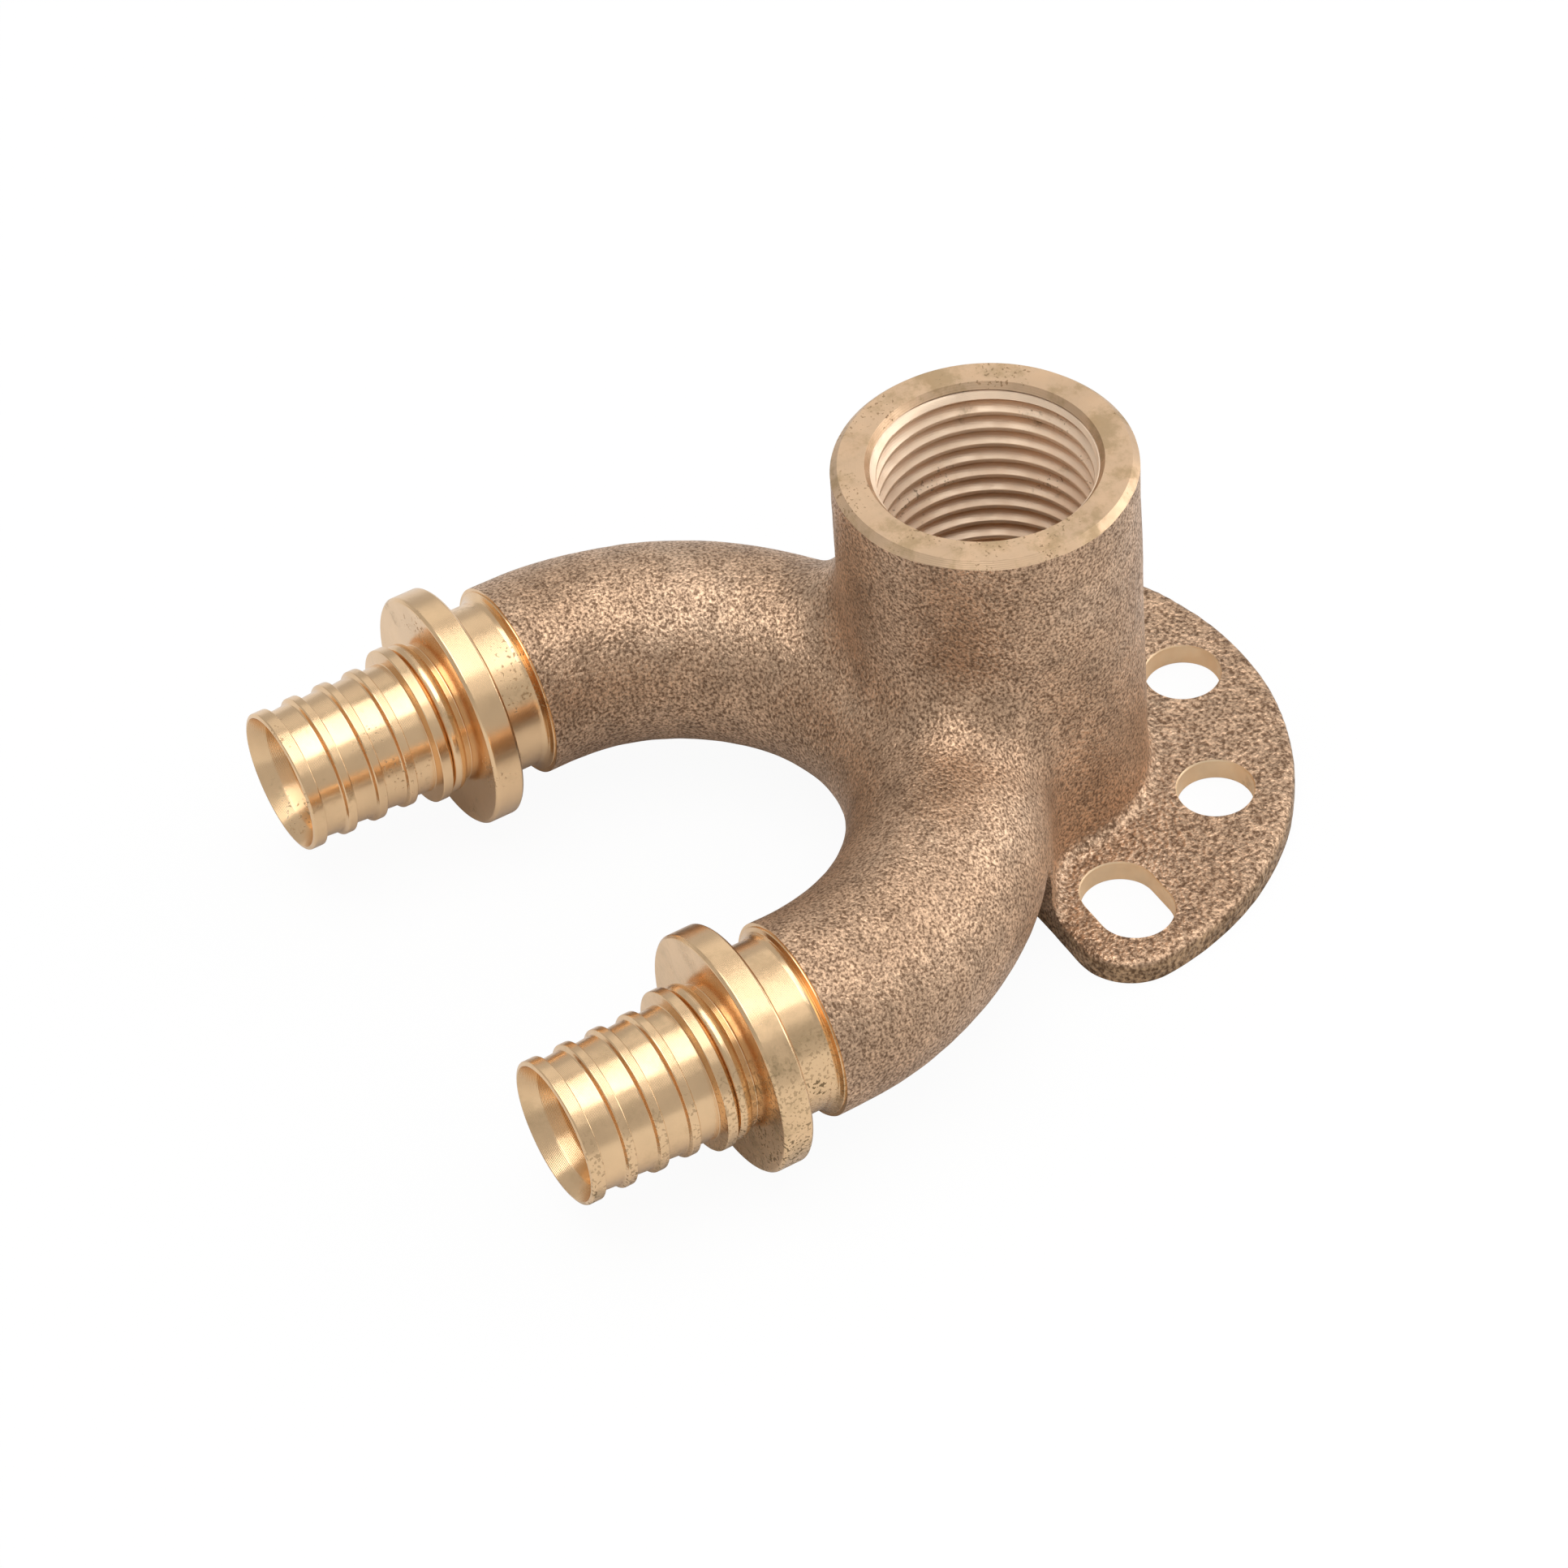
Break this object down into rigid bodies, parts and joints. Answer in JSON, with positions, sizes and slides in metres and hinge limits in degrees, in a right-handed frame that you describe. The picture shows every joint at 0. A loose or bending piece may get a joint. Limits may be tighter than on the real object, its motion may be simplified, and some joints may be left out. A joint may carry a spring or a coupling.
{
  "type": "wall plate elbow",
  "caption": "Cast wall plate elbow: a threaded socket on a half-round screw plate, fed by a U-shaped pipe that ends in parallel barbed spigots.",
  "frame": {"origin": "where the socket's axis meets the plate's back face, on the wall", "axes": "+Z along the socket's axis, out of the wall; -Y along the spigots, towards their open ends; X across, from one spigot to the other"},
  "size_m": [0.071, 0.0845, 0.038],
  "materials": {
    "bronze": "as-cast grain on the body, turned and bare on the socket's rim, the thread and the spigots"
  },
  "bodies": {
    "root": {"elbow_body": "bronze"}
  },
  "joints": []
}
